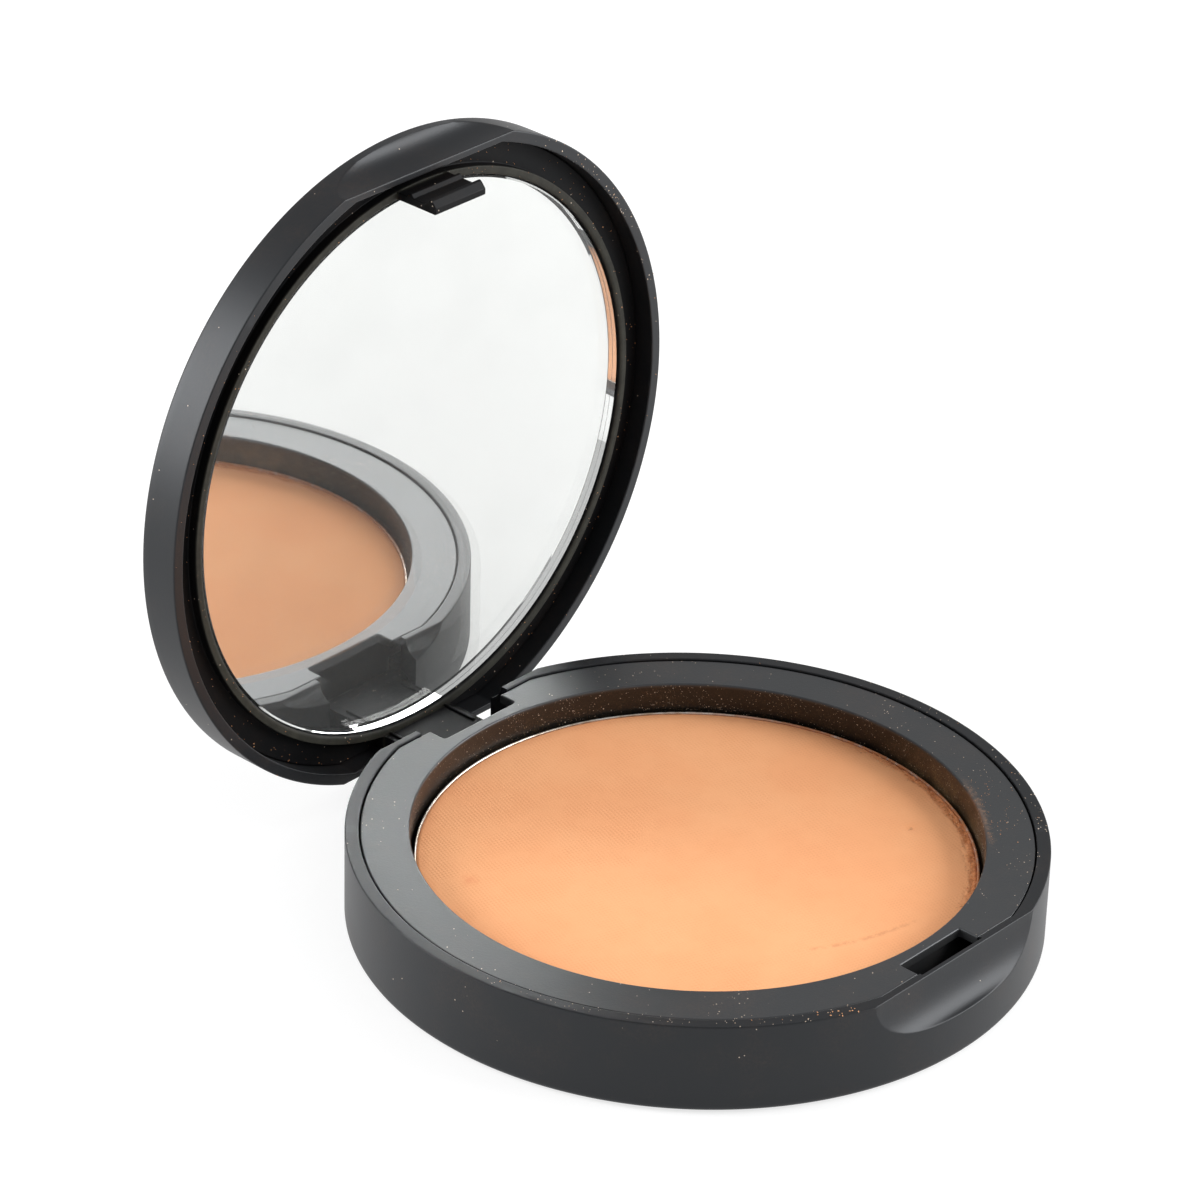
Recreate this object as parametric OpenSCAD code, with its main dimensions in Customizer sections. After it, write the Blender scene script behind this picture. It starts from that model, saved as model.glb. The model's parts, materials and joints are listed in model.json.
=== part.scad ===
// Round powder compact with a hinged lid and a mirror, standing open.
// Millimetres. +Z is up, the latch and its thumb scoop face -Y, the hinge is at +Y.
// The origin is the centre of the underside that the compact stands on.

/* [Case] */
// Outside diameter of the base and the lid
case_d = 75; // [74:0.5:78]
// Height of the base from the table to its rim
base_h = 10.3; // [10.2:0.1:11]
// Thickness of the lid
lid_t = 4.9; // [4.8:0.1:6]
// Gap between the two rims when the compact is shut
shut_gap = 0.1; // [0.1:0.05:0.2]
// Width of the rim round the base
rim_w = 1.5; // [1.3:0.1:1.7]
// Angle that the lid stands open, with 0 as shut
lid_angle = 90; // [0:5:90]

/* [Thumb scoops] */
// Distance from the case's edge in to the straight edge of each scoop
scoop_run = 2.2; // [2.1:0.05:2.3]
// Height of the scoop at the front of the base
front_scoop_h = 5.1; // [4:0.1:6]
// Height of the scoop at the back of the base
rear_scoop_h = 2.1; // [1.6:0.1:2.4]
// Height of the two scoops in the lid
lid_scoop_h = 3.9; // [3:0.1:4]

/* [Powder] */
// Outside diameter of the metal pan
pan_d = 60.3; // [58:0.1:60.4]
// Depth of the metal pan
pan_h = 4.25; // [3.6:0.05:4.5]
// Diameter of the well that holds the pan
well_d = 61.2; // [61:0.1:61.6]

/* [Mirror] */
// Diameter of the mirror
mirror_d = 64.1; // [63:0.1:64.4]
// Thickness of the glass
mirror_t = 1.7; // [1.5:0.1:1.8]
// Width of the small bevel on the glass's front edge
bevel_w = 0.2; // [0.1:0.05:0.4]

/* [Hinge and latch] */
// Diameter of the steel hinge pin
pin_d = 1.5; // [1.2:0.1:1.6]
// Width of the tongue that joins the lid to the pin
tongue_w = 10.5; // [9:0.1:10.6]
// Width of the latch hook
hook_w = 7.5; // [6.5:0.1:8.5]

/* [Hidden] */
$fn = 96;

case_r = case_d / 2;
seam = 0.15;                            // visible gap round the tray
skin = 0.1;                             // gap round the lid's inner frame

// Base, from the table up
floor_t = 1.5;
label_t = 0.15;
label_r = 22;
pocket_r = case_r - rim_w;
scoop_y = case_r - scoop_run;           // straight edge of every scoop
strip_t = 0.85;                         // rim left between a scoop and the pocket
pocket_y = scoop_y - strip_t;           // flats that close the pocket front and back
deck_z = base_h - seam;
deck_t = 1;
deck_r = pocket_r - seam;
deck_y = pocket_y - seam;
well_r = well_d / 2;
well_wall = 1;
tray_floor = 1;
pan_z = floor_t + tray_floor + label_t; // underside of the pan, on its glue
pan_r = pan_d / 2;
pan_wall = 0.3;
pan_top = pan_z + pan_h;

// Hinge: its axis lies along X
hinge_y = case_r - 3;
hinge_z = base_h - 5.85;
barrel_r = 1.8;
barrel_w = 13.4;
cut_w = barrel_w + 0.2;                 // cut-out in the back of the base
lug_w = 2.6;
pin_len = cut_w + 2 * lug_w - 0.2;
pin_r = pin_d / 2;
press = 0.01;                           // the pin is this much tighter than its lugs
running = 0.05;                         // and this much looser in the tongue
notch_w = 11.1;
notch_y = hinge_y - 2.45;
flap_w = 13.2;
flap_r = case_r - 0.1;                  // the flap lies just inside the case's wall
rib_w = 0.38;
rib_x = 4.33;

// Lid, drawn shut
lid_z = base_h + shut_gap;
lid_top = lid_z + lid_t;
roof_t = 1.2;
lid_pocket_r = case_r - 1.3;
lid_pocket_y = scoop_y - 0.8;
frame_z = lid_z + 2.4;                  // floor of the frame, seen beside the mirror
frame_top = lid_top - roof_t;
lip_z = lid_z + 1.2;
lip_w = 1.05;
mirror_r = mirror_d / 2;
mirror_z = lid_z + 1.5;
tape_t = 0.2;
seat_r = mirror_r + skin;

// Latch
slot_w = 9.6;
slot_in = deck_y - 2.4;                 // inner edge of the slot in the deck
slot_out = pocket_y + 0.3;
catch_z = lid_z - 3.2;                  // underside of the ledge that the hook sits under
catch_t = 0.8;
hook_l = 4.45;
hook_y = max(seat_r, well_r + well_wall + 0.4); // inner face of the hook, clear of mirror and well
hook_nose = hook_y + 1.55;

// Points along an arc, for the edge of a turned outline
function arc(x, y, r, from, to, steps = 5) =
    [for (i = [0 : steps]) let (a = from + (to - from) * i / steps) [x + r * cos(a), y + r * sin(a)]];

// A disc whose front and back are cut off straight
module flatted_disc(r, half_y, z0, z1) {
    intersection() {
        translate([0, 0, z0]) cylinder(r = r, h = z1 - z0);
        translate([-r, -half_y, z0]) cube([2 * r, 2 * half_y, z1 - z0]);
    }
}

// A box given by its half width and its limits in Y and Z
module block(w, y0, y1, z0, z1) {
    translate([-w / 2, y0, z0]) cube([w, y1 - y0, z1 - z0]);
}

// A rod along X on the hinge axis
module hinge_rod(r, w) {
    translate([-w / 2, hinge_y, hinge_z]) rotate([0, 90, 0]) cylinder(r = r, h = w);
}

// An outline in Y and Z, extruded evenly to both sides of X = 0
module along_x(w, points) {
    rotate([90, 0, 90]) translate([0, 0, -w / 2]) linear_extrude(w) polygon(points);
}

// What a thumb scoop takes away: a quarter ellipse, steep at the rim and level at the wall
module scoop_cut(drop) {
    curve = [for (i = [0 : 10]) [scoop_run * (1 - cos(9 * i)), -drop * sin(9 * i)]];
    along_x(case_r, concat(curve, [[scoop_run + 2, -drop], [scoop_run + 2, 1], [0, 1]]));
}

// Turns the shut lid up to where it stands
module opened() {
    translate([0, hinge_y, hinge_z]) rotate([-lid_angle, 0, 0])
        translate([0, -hinge_y, -hinge_z]) children();
}

module base_shell() {
    foot_r = 0.7;
    rim_r = 0.3;
    outline = concat([[0, 0]], arc(case_r - foot_r, foot_r, foot_r, -90, 0),
                     arc(case_r - rim_r, base_h - rim_r, rim_r, 0, 90), [[0, base_h]]);
    color("#2b2c2e") difference() {
        union() {
            difference() {
                rotate_extrude() polygon(outline);
                flatted_disc(pocket_r, pocket_y, floor_t, base_h + 1);
                block(slot_w, -slot_out, -slot_in, hinge_z + 1, base_h + 1);
            }
            // ledge that holds the latch hook down
            block(slot_w, -slot_out - 0.1, -hook_nose - 0.05, catch_z, catch_z + catch_t);
            // lugs for the hinge pin
            intersection() {
                block(cut_w + 2 * lug_w, hinge_y - 2.1, case_r, floor_t - 0.1, hinge_z + 2.4);
                cylinder(r = case_r - 0.5, h = base_h);
            }
        }
        block(cut_w, hinge_y - 2.2, case_r + 1, floor_t, base_h + 1);
        hinge_rod(pin_r - press, pin_len);
        translate([0, scoop_y, base_h]) scoop_cut(rear_scoop_h);
        mirror([0, 1, 0]) translate([0, scoop_y, base_h]) scoop_cut(front_scoop_h);
        translate([0, 0, -1]) cylinder(r = label_r, h = 1 + label_t);
    }
}

module base_label() {
    color("#d9d6cf") cylinder(r = label_r - 0.05, h = label_t);
}

module pan_tray() {
    outline = concat([[0, floor_t], [well_r + well_wall, floor_t], [well_r + well_wall, deck_z - deck_t],
                      [deck_r, deck_z - deck_t]],
                     arc(deck_r - 0.2, deck_z - 0.2, 0.2, 0, 90, 3),
                     arc(well_r + 0.15, deck_z - 0.15, 0.15, 90, 180, 3),
                     [[well_r, floor_t + tray_floor], [0, floor_t + tray_floor]]);
    color("#323334") difference() {
        rotate_extrude() polygon(outline);
        for (side = [0, 1]) mirror([0, side, 0]) block(case_d, deck_y, case_r, 0, base_h);
        // slot for the latch hook and notch for the hinge tongue
        block(slot_w, -case_r, -slot_in, deck_z - 2 * deck_t, base_h);
        block(notch_w, notch_y, case_r, deck_z - 2 * deck_t, base_h);
    }
}

module pan_glue() {
    color("#e6e0cf") translate([0, 0, pan_z - label_t]) cylinder(r = 14, h = label_t);
}

module powder_pan() {
    corner_r = 0.8;
    outline = concat([[0, pan_z]], arc(pan_r - corner_r, pan_z + corner_r, corner_r, -90, 0),
                     [[pan_r, pan_top], [pan_r - pan_wall, pan_top]],
                     arc(pan_r - corner_r, pan_z + corner_r, corner_r - pan_wall, 0, -90),
                     [[0, pan_z + pan_wall]]);
    color("#c9c9c6") rotate_extrude() polygon(outline);
}

module powder_cake() {
    corner_r = 0.5;
    cake_r = pan_r - pan_wall;
    below_rim = 0.12;
    outline = concat([[0, pan_z + pan_wall]],
                     arc(cake_r - corner_r, pan_z + pan_wall + corner_r, corner_r, -90, 0),
                     arc(cake_r - 0.25, pan_top - below_rim - 0.25, 0.25, 0, 90, 3), [[0, pan_top - below_rim]]);
    color("#f3b486") rotate_extrude() polygon(outline);
}

module hinge_pin() {
    bevel = 0.2;
    outline = [[0, 0], [pin_r - bevel, 0], [pin_r, bevel], [pin_r, pin_len - bevel],
               [pin_r - bevel, pin_len], [0, pin_len]];
    color("#b5b7ba") translate([-pin_len / 2, hinge_y, hinge_z]) rotate([0, 90, 0])
        rotate_extrude() polygon(outline);
}

module lid_shell() {
    roof_r = 0.4;
    rim_r = 0.2;
    outline = concat([[0, lid_z]], arc(case_r - rim_r, lid_z + rim_r, rim_r, -90, 0, 3),
                     arc(case_r - roof_r, lid_top - roof_r, roof_r, 0, 90), [[0, lid_top]]);
    color("#2b2c2e") opened() difference() {
        rotate_extrude() polygon(outline);
        flatted_disc(lid_pocket_r, lid_pocket_y, lid_z - 1, frame_top);
        for (side = [0, 1]) mirror([0, side, 0])
            translate([0, scoop_y, lid_z]) mirror([0, 0, 1]) scoop_cut(lid_scoop_h);
    }
}

// Hook that snaps under the ledge at the front of the base
module latch_hook() {
    end_z = lid_z - hook_l;
    face = -hook_y - 0.85;
    ridge = face - 0.4;
    along_x(hook_w, [
        [-hook_y, frame_z + 0.1], [-hook_y, end_z], [-hook_y - 0.75, end_z],
        [-hook_nose + 0.1, end_z + 0.6], [-hook_nose, end_z + 0.9], [face, end_z + 1.6],
        [face, lid_z - 1.2], [ridge, lid_z - 0.85], [ridge, lid_z - 0.55],
        [face, lid_z - 0.2], [face, frame_z + 0.1]]);
}

// Tongue that carries the lid on the hinge pin, with the flap that fills the cut-out
module hinge_tongue() {
    face = hinge_y - barrel_r;
    flap_top = lid_z - 0.05;
    difference() {
        union() {
            hinge_rod(barrel_r, barrel_w);
            block(tongue_w, face, lid_pocket_y - skin, hinge_z, frame_z + 0.1);
            intersection() {
                block(flap_w, lid_pocket_y - skin, case_r, hinge_z, flap_top);
                cylinder(r = flap_r, h = lid_z);
            }
            for (x = [-rib_x, rib_x])
                translate([x, 0, 0]) block(rib_w, face - 0.25, face + 0.1, hinge_z + 2.6, lip_z);
        }
        hinge_rod(pin_r + running, barrel_w + 1);
    }
}

module lid_frame() {
    color("#222324") opened() union() {
        difference() {
            union() {
                flatted_disc(lid_pocket_r - skin, lid_pocket_y - skin, frame_z, frame_top);
                translate([0, 0, lip_z]) cylinder(r = seat_r + lip_w, h = frame_z - lip_z + 0.1);
            }
            translate([0, 0, lip_z - 1]) cylinder(r = seat_r, h = mirror_z + mirror_t + tape_t - lip_z + 1);
        }
        latch_hook();
        hinge_tongue();
    }
}

module mirror_tape() {
    color("#c8c8c4") opened() translate([0, 0, mirror_z + mirror_t]) cylinder(r = mirror_r - 3, h = tape_t);
}

module mirror_glass() {
    outline = [[0, mirror_z], [mirror_r - bevel_w, mirror_z], [mirror_r, mirror_z + bevel_w],
               [mirror_r, mirror_z + mirror_t], [0, mirror_z + mirror_t]];
    color("#dfe6e8") opened() rotate_extrude() polygon(outline);
}

base_shell();
base_label();
pan_tray();
pan_glue();
powder_pan();
powder_cake();
hinge_pin();
lid_shell();
lid_frame();
mirror_tape();
mirror_glass();
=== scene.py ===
"""Round powder compact, standing open: black case, flat mirror, pressed powder in a metal pan.

Meshes are worked out in millimetres in the part's own frame and stored in metres.
The lid is drawn shut, as the CAD draws it, and then turned up about its hinge.
"""
import json
import math

import bmesh
import bpy
import numpy as np
from mathutils import Matrix, Vector, noise

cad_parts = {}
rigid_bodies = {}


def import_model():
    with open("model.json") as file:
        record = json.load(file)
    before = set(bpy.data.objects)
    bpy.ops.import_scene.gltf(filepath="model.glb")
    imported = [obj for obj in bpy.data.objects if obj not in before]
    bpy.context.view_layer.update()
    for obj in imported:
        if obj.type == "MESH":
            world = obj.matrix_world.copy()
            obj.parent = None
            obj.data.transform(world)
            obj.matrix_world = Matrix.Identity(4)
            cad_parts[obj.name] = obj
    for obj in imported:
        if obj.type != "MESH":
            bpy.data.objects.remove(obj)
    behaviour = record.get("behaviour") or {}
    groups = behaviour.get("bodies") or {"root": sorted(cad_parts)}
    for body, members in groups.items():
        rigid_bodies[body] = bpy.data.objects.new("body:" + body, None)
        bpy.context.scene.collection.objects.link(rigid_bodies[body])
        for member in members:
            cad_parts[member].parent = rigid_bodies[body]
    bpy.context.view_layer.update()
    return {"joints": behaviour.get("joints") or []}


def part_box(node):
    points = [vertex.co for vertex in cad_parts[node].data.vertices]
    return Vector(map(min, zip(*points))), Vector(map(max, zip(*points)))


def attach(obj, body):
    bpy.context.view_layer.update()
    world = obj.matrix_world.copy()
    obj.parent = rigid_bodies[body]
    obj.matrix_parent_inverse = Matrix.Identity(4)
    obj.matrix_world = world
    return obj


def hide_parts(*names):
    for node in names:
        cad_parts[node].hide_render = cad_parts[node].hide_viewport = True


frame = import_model()

MM = 0.001
LID_ANGLE = math.radians(90)
COLUMNS = 480                 # sections round a turned shell


# ---------------------------------------------------------------- sizes, from the frame

def node_box(node):
    """Lowest and highest corner of a CAD node, in millimetres."""
    low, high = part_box(node)
    return low / MM, high / MM


hinge_y, hinge_z = (c / MM for c in frame["joints"][0]["pos_m"][1:])

_, shell_high = node_box("base_shell")
case_r = shell_high.x
base_h = shell_high.z

tray_low, tray_high = node_box("pan_tray")
deck_r = tray_high.x
deck_y = tray_high.y
deck_z = tray_high.z
floor_t = tray_low.z
seam = base_h - deck_z
pocket_r = deck_r + seam
pocket_y = deck_y + seam
scoop_y = pocket_y + 0.85

pan_low, pan_high = node_box("powder_pan")
pan_r = pan_high.x
cake_low, cake_high = node_box("powder_cake")
cake_r = cake_high.x
_, label_high = node_box("base_label")
label_r = label_high.x
label_t = label_high.z
_, pin_high = node_box("hinge_pin")


def shut_z(opened_y):
    """Height in the shut lid of something that stands at this Y in the open one."""
    return hinge_z + (opened_y - hinge_y)


lid_low, lid_high = node_box("lid_shell")
lid_z = shut_z(lid_low.y)
lid_top = shut_z(lid_high.y)
lid_t = lid_top - lid_z
_, frame_high = node_box("lid_frame")
frame_r = frame_high.x
frame_y = scoop_y - 0.9
glass_low, glass_high = node_box("mirror_glass")
glass_r = glass_high.x
glass_front = shut_z(glass_low.y)
glass_back = shut_z(glass_high.y)
tape_low, tape_high = node_box("mirror_tape")

scoop_run = case_r - scoop_y  # how far a thumb scoop cuts into the wall
front_scoop_h = 5.1
rear_scoop_h = 2.1
lid_scoop_h = 3.9
foot_r = 0.7                  # rounding of the base's lower edge
roof_r = 0.4                  # rounding of the lid's edge
roof_t = 1.2                  # thickness of the lid's roof
lid_pocket_r = frame_r + 0.1
lid_pocket_y = frame_y + 0.1
channel_z = lid_z + 2.4       # floor of the channel round the mirror
lip_z = lid_z + 1.2           # top of the lip round the mirror
lip_r = glass_r + 1.15
seat_r = glass_r + 0.1
hook_nose = seat_r + 1.55     # tip of the latch hook
slot_x = 4.8                  # latch slot in the deck
slot_y = deck_y - 2.4
notch_x = 5.55                # notch for the hinge tongue
notch_y = hinge_y - 2.45
cut_x = 6.8                   # cut-out in the back of the base
well_r = pan_r + 0.45
well_wall = 1.0
floor_cap_r = 1.0             # small face that closes the middle of a floor


# ---------------------------------------------------------------- mesh helpers

def new_piece(name, bm, material, sharp_angle=32, opened=False, weighted=True, level_caps=False):
    """Makes the object from a bmesh in millimetres, closed and facing outwards.

    level_caps keeps the shading of the level faces apart from that of the rounded edges round them.
    """
    bmesh.ops.remove_doubles(bm, verts=bm.verts, dist=0.0012)
    bmesh.ops.dissolve_degenerate(bm, edges=bm.edges, dist=0.0005)
    bmesh.ops.recalc_face_normals(bm, faces=bm.faces)
    for edge in bm.edges:
        edge.smooth = not edge.is_manifold or edge.calc_face_angle(0) < math.radians(sharp_angle)
        if level_caps and len({abs(face.normal.z) > 0.9999 for face in edge.link_faces}) > 1:
            edge.smooth = False
    for face in bm.faces:
        face.smooth = True
    mesh = bpy.data.meshes.new(name)
    place = Matrix.Scale(MM, 4)
    if opened:
        place = place @ lid_turn()
    bm.transform(place)
    bm.to_mesh(mesh)
    bm.free()
    mesh.materials.append(material)
    piece = bpy.data.objects.new(name, mesh)
    bpy.context.scene.collection.objects.link(piece)
    if weighted:
        bake_normals(piece)
    return piece


def bake_normals(piece):
    """Lets the large flat faces set the shading of the small rounded ones beside them."""
    modifier = piece.modifiers.new("Face weights", "WEIGHTED_NORMAL")
    modifier.keep_sharp = True
    plain_mesh(piece)


def plain_mesh(piece):
    """Turns a piece with modifiers into a plain mesh."""
    bpy.context.view_layer.update()
    graph = bpy.context.evaluated_depsgraph_get()
    made = bpy.data.meshes.new_from_object(piece.evaluated_get(graph), depsgraph=graph)
    made.name = piece.name
    piece.modifiers.clear()
    piece.data = made


def lid_turn():
    """Turns the shut lid up to where it stands."""
    to_hinge = Matrix.Translation((0, hinge_y, hinge_z))
    return to_hinge @ Matrix.Rotation(-LID_ANGLE, 4, "X") @ to_hinge.inverted()


def add_rows(bm, rows, around=True):
    """Joins rows of points, each as long as the last, into a skin. Returns the rows of vertices."""
    made = [[bm.verts.new(p) for p in row] for row in rows]
    for row, after in zip(made, made[1:]):
        count = len(row)
        for i in range(count if around else count - 1):
            j = (i + 1) % count
            bm.faces.new((row[i], row[j], after[j], after[i]))
    return made


def fill_between(bm, loops, up=1):
    """Fills the flat area that closed loops of vertices enclose."""
    edges = []
    for loop in loops:
        for i, vert in enumerate(loop):
            other = loop[(i + 1) % len(loop)]
            edges.append(bm.edges.get((vert, other)) or bm.edges.new((vert, other)))
    bmesh.ops.triangle_fill(bm, use_beauty=True, use_dissolve=False, edges=edges, normal=(0, 0, up))


def circle(radius, z, count=COLUMNS):
    turn = 2 * math.pi / count
    return [(radius * math.cos(i * turn), radius * math.sin(i * turn), z) for i in range(count)]


def arc(x, y, radius, start, end, steps=6):
    """Points along an arc in degrees."""
    angles = [math.radians(start + (end - start) * i / steps) for i in range(steps + 1)]
    return [(x + radius * math.cos(a), y + radius * math.sin(a)) for a in angles]


def turned(section, count=COLUMNS):
    """A closed solid turned from a section of (radius, height) that starts and ends on the axis."""
    bm = bmesh.new()
    rows = [circle(r, z, count) for r, z in section[1:-1]]
    made = add_rows(bm, rows)
    for row, (_, z) in ((made[0], section[0]), (made[-1], section[-1])):
        pole = bm.verts.new((0, 0, z))
        for i, vert in enumerate(row):
            bm.faces.new((vert, row[(i + 1) % count], pole))
    return bm


def rounded_outline(corners, radius, steps=5):
    """A closed outline with each corner turned into an arc. A corner is (x, y) or (x, y, radius)."""
    outline = []
    count = len(corners)
    for i, corner in enumerate(corners):
        here = np.array(corner[:2], float)
        before = np.array(corners[i - 1][:2], float) - here
        after = np.array(corners[(i + 1) % count][:2], float) - here
        r = corner[2] if len(corner) > 2 else radius
        u, v = before / np.linalg.norm(before), after / np.linalg.norm(after)
        half = math.acos(max(-1, min(1, float(u @ v)))) / 2
        if r <= 0 or half > math.radians(89):
            outline.append(tuple(here))
            continue
        reach = min(r / math.tan(half), 0.48 * np.linalg.norm(before), 0.48 * np.linalg.norm(after))
        r = reach * math.tan(half)
        middle = here + (u + v) / np.linalg.norm(u + v) * r / math.sin(half)
        start = math.atan2(*(here + u * reach - middle)[::-1])
        end = math.atan2(*(here + v * reach - middle)[::-1])
        sweep = (end - start + math.pi) % (2 * math.pi) - math.pi
        for k in range(steps + 1):
            a = start + sweep * k / steps
            outline.append((middle[0] + r * math.cos(a), middle[1] + r * math.sin(a)))
    return outline


def inset(outline, distance):
    """The outline, counter-clockwise, moved inwards by a small distance."""
    points = np.array(outline, float)
    ahead = np.roll(points, -1, axis=0) - points
    ahead /= np.linalg.norm(ahead, axis=1)[:, None]
    normal = np.stack([-ahead[:, 1], ahead[:, 0]], axis=1)
    both = normal + np.roll(normal, 1, axis=0)
    both *= 2 / np.maximum((both ** 2).sum(axis=1), 0.4)[:, None]
    return points + both * distance


def rounded_prism(outline, low, high, edge, to_3d):
    """An outline pushed out from low to high, with both ends' edges rounded.

    to_3d(a, b, level) places a point.
    """
    bm = bmesh.new()
    steps = 3
    rows = []
    for level, way in ((low, 1), (high, -1)):
        ring = []
        for i in range(steps + 1):
            a = math.radians(90 * i / steps)
            shrunk = inset(outline, edge * (1 - math.sin(a)))
            ring.append([to_3d(p[0], p[1], level + way * edge * (1 - math.cos(a))) for p in shrunk])
        rows += ring if way == 1 else ring[::-1]
    made = add_rows(bm, rows)
    for row in (made[0], made[-1]):
        bm.faces.new(row)
    return bm


def along_x(outline, half_width, edge):
    """An outline in Y and Z pushed out evenly to both sides of X = 0."""
    return rounded_prism(outline, -half_width, half_width, edge, lambda y, z, x: (x, y, z))


def upright(outline, low, high, edge):
    """An outline in X and Y pushed up from low to high."""
    return rounded_prism(outline, low, high, edge, lambda x, y, z: (x, y, z))


def box_outline(x0, x1, y0, y1, radius=0.2):
    return rounded_outline([(x0, y0), (x1, y0), (x1, y1), (x0, y1)], radius, 4)


def combine(first, second, operation):
    """Boolean of two bmeshes, both closed. Uses up both and returns the result."""
    objects = []
    for bm in (first, second):
        bmesh.ops.remove_doubles(bm, verts=bm.verts, dist=0.0012)
        bmesh.ops.recalc_face_normals(bm, faces=bm.faces)
        mesh = bpy.data.meshes.new("operand")
        bm.to_mesh(mesh)
        bm.free()
        operand = bpy.data.objects.new("operand", mesh)
        bpy.context.scene.collection.objects.link(operand)
        objects.append(operand)
    modifier = objects[0].modifiers.new("Boolean", "BOOLEAN")
    modifier.operation = operation
    modifier.solver = "MANIFOLD"
    modifier.object = objects[1]
    plain_mesh(objects[0])
    result = bmesh.new()
    result.from_mesh(objects[0].data)
    for operand in objects:
        bpy.data.objects.remove(operand)
    return result


# ---------------------------------------------------------------- shells of the case

OFFSETS = (0.05, 0.11, 0.18, 0.28, 0.5)     # how far from a rounded corner its section has points


def soften(points, corners, blur):
    """Rounds the marked corners of an open section. The count of points doesn't depend on its lengths."""
    points = np.array(points, float)
    steps = np.hypot(*np.diff(points, axis=0).T)
    along = np.concatenate([[0], np.cumsum(steps)])
    pitch = 0.02
    spare = 5 * blur
    grid = np.arange(-spare, along[-1] + spare, pitch)
    dense = np.stack([np.interp(grid, along, points[:, k]) for k in (0, 1)])
    first = (points[1] - points[0]) / max(steps[0], 1e-9)
    last = (points[-1] - points[-2]) / max(steps[-1], 1e-9)
    for k in (0, 1):
        dense[k] += first[k] * np.minimum(grid, 0) + last[k] * np.maximum(grid - along[-1], 0)
    reach = int(3 * blur / pitch)
    kernel = np.exp(-0.5 * (np.arange(-reach, reach + 1) * pitch / blur) ** 2)
    kernel /= kernel.sum()
    smooth = np.stack([np.convolve(dense[k], kernel, mode="same") for k in (0, 1)])
    places = []
    for i, corner in enumerate(corners):
        if not corner:
            places.append(along[i])
            continue
        before, after = steps[i - 1] / 2, steps[i] / 2
        count = len(OFFSETS)
        for k in range(count, 0, -1):
            places.append(along[i] - min(OFFSETS[k - 1], before * k / (count + 0.5)))
        places.append(along[i])
        for k in range(1, count + 1):
            places.append(along[i] + min(OFFSETS[k - 1], after * k / (count + 0.5)))
    return np.stack([np.interp(places, grid, smooth[k]) for k in (0, 1)], axis=1)


def column_angles(keys, steps=()):
    """Angles of the columns round the case.

    There is one at each key angle from the Y axis, and a close pair at each step in the wall.
    """
    even = [2 * math.pi * i / COLUMNS for i in range(COLUMNS)]
    pair = math.radians(0.002)
    wanted = list(keys) + [step + nudge for step in steps for nudge in (-pair, pair)]
    mirrored = [(side, way) for side in (math.pi / 2, -math.pi / 2) for way in (-1, 1)]
    exact = [(side + way * angle) % (2 * math.pi) for angle in wanted for side, way in mirrored]
    clear = math.radians(0.12)
    kept = [a for a in even if all(abs(a - e) > clear for e in exact)]
    return sorted(kept + exact)


def scoop_profile(cosine, drop):
    """Top of a shell's wall, cut by a scoop of this drop, as (radius, height from the rim)."""
    steps = 12
    reach = max(0.0, min(1.0, (case_r * cosine - scoop_y) / scoop_run)) if drop else 0.0
    lowest = math.acos(1 - reach)
    curve = []
    for i in range(steps + 1):
        t = lowest * (1 - i / steps)
        radius = (scoop_y + scoop_run * (1 - math.cos(t))) / cosine if reach > 0 else case_r
        curve.append((radius, -drop * math.sin(t)))
    return curve


def shell_half(height, edge_r, drops, pocket, pocket_flat, depth, closed_face, inside):
    """One half of the case with its rim at Z = 0 and its closed face below, as a bmesh.

    drops are the heights of the front and back scoops; inside(angle, radius) gives the
    pocket wall's own points below the rim.
    """
    tips = math.acos(scoop_y / case_r)
    flats = math.acos(pocket_flat / pocket)
    recess = math.atan2(slot_x, pocket_flat)
    foot = arc(case_r - edge_r, edge_r - height, edge_r, -90, 0, 7)
    columns = []
    for angle in column_angles((tips, flats), (recess,)):
        sine = math.sin(angle)
        cosine = max(abs(sine), 1e-6)
        drop = drops[0] if sine < 0 else drops[1]
        inner = min(pocket, pocket_flat / cosine)
        wall = scoop_profile(cosine, drop)
        down = inside(angle, inner)
        sharp = [(case_r, 1.2 - height)] + wall + down
        corners = [False, True] + [False] * (len(wall) - 2) + [True] + [True] + [False] * (len(down) - 1)
        rounded = [tuple(p) for p in soften(sharp, corners, 0.1)]
        section = closed_face + foot + rounded + [(inner, -depth), (0, -depth)]
        columns.append([(r * math.cos(angle), r * math.sin(angle), z) for r, z in section])
    bm = bmesh.new()
    add_rows(bm, columns + [columns[0]], around=False)
    bmesh.ops.remove_doubles(bm, verts=bm.verts, dist=0.0012)
    return bm


def base_pocket_wall(angle, radius):
    """Pocket wall of the base: plain, but for the latch recess with its ledge at the front."""
    cosine = abs(math.sin(angle))
    across = abs(radius * math.cos(angle))
    ledge_top, ledge_foot, recess_floor = -2.3, -3.1, -4.85
    levels = [0, ledge_top, ledge_top, ledge_foot, ledge_foot, recess_floor, recess_floor]
    radii = [radius] * len(levels)
    if math.sin(angle) < 0 and across < slot_x:
        hook_gap = 0.05
        deep, ledge = (pocket_y + 0.3) / cosine, (hook_nose + hook_gap) / cosine
        radii = [deep, deep, ledge, ledge, deep, deep, radius]
    return list(zip(radii, levels))


def plain_pocket_wall(angle, radius):
    return [(radius, 0), (radius, -1.6)]


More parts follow.
